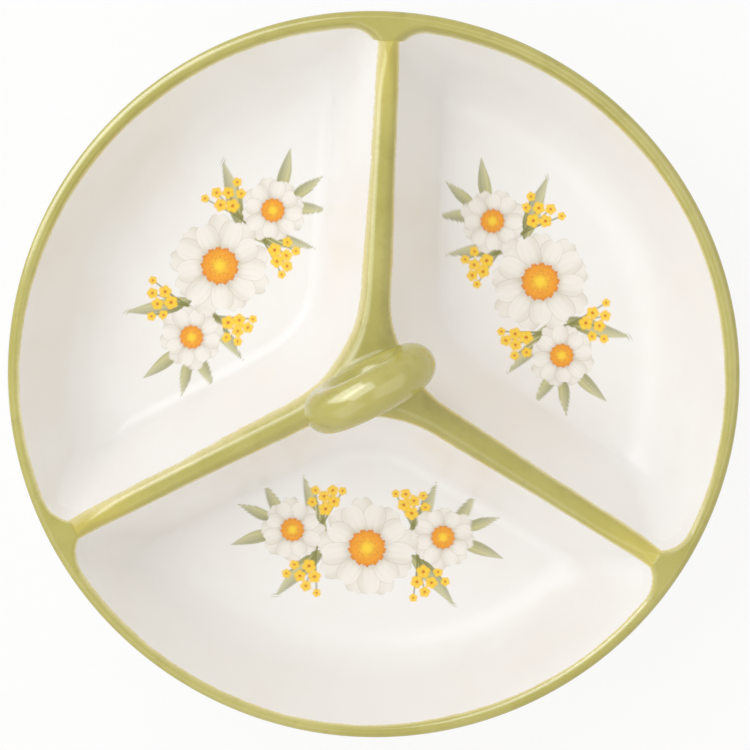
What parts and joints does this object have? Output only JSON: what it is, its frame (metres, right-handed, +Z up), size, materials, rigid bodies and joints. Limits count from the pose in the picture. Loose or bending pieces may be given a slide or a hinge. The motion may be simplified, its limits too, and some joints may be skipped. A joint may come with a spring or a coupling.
{
  "type": "divided serving bowl",
  "caption": "Round glazed ceramic serving dish with divided wells, a rounded coloured lip and crests, and an upright finger ring on the hub.",
  "frame": {"origin": "on the table, under the middle of the dish", "axes": "+Z up; the ring stands in the XZ plane; one divider runs along -X from the hub"},
  "size_m": [0.26, 0.26, 0.0915],
  "materials": {
    "white_glaze": "glossy warm white glaze",
    "green_glaze": "glossy yellow-green glaze, paler on its edges",
    "bare_clay": "wiped, unglazed fired clay"
  },
  "bodies": {
    "root": {"bowl_shell": "white_glaze", "hub_core": "white_glaze", "divider_back": "white_glaze", "divider_left": "white_glaze", "divider_right": "white_glaze", "rim_lip": "green_glaze", "crest_back": "green_glaze", "crest_left": "green_glaze", "crest_right": "green_glaze", "hub_cap": "green_glaze", "ring_handle": "green_glaze", "foot_right": "bare_clay", "foot_left": "bare_clay", "foot_front": "bare_clay"}
  },
  "joints": []
}
